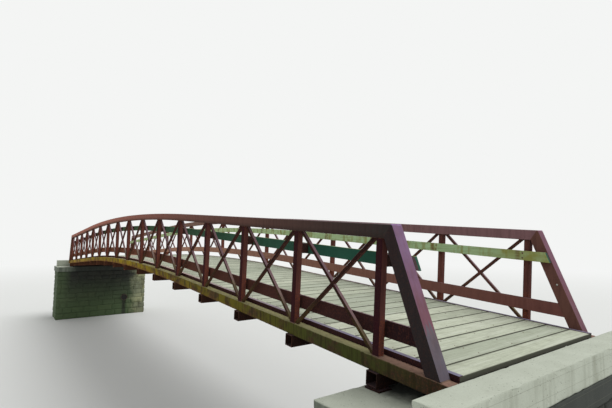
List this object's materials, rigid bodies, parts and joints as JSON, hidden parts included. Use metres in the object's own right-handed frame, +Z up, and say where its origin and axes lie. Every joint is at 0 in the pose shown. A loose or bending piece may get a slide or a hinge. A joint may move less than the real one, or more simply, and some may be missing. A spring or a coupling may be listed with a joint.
{
  "type": "truss bridge",
  "caption": "Arched steel pony truss footbridge with crossed diagonals, timber floor and rub rails, on two stone abutments with concrete seats.",
  "frame": {"origin": "middle of the span, level with the foot of the abutments", "axes": "+X along the bridge to its right end, +Y across it to the rear truss, +Z up"},
  "size_m": [25.4164, 4.636, 5.0728],
  "materials": {
    "truss_steel": "matt weathered brown",
    "floor_steel": "matt weathered brown",
    "deck_timber": "sawn, grey with age",
    "rail_timber": "sawn, grey-green with age",
    "concrete": "cast, weathered",
    "stone_masonry": "coursed stone, damp and mossy"
  },
  "bodies": {
    "root": {"floor": "deck_timber", "floor_beams": "floor_steel", "front_bottom_chord": "truss_steel", "front_diagonals": "truss_steel", "front_edge_channel": "floor_steel", "front_left_end_post": "truss_steel", "front_packers": "truss_steel", "front_right_end_post": "truss_steel", "front_rub_rail": "rail_timber", "front_toe_board": "truss_steel", "front_top_chord": "truss_steel", "front_uprights": "truss_steel", "left_abutment_wall": "stone_masonry", "left_back_wall": "concrete", "left_bearings": "floor_steel", "left_seat_cap": "concrete", "rear_bottom_chord": "truss_steel", "rear_diagonals": "truss_steel", "rear_edge_channel": "floor_steel", "rear_left_end_post": "truss_steel", "rear_packers": "truss_steel", "rear_right_end_post": "truss_steel", "rear_rub_rail": "rail_timber", "rear_toe_board": "truss_steel", "rear_top_chord": "truss_steel", "rear_uprights": "truss_steel", "right_abutment_wall": "stone_masonry", "right_back_wall": "concrete", "right_bearings": "floor_steel", "right_seat_cap": "concrete", "stringers": "floor_steel", "wind_braces": "floor_steel"}
  },
  "joints": []
}
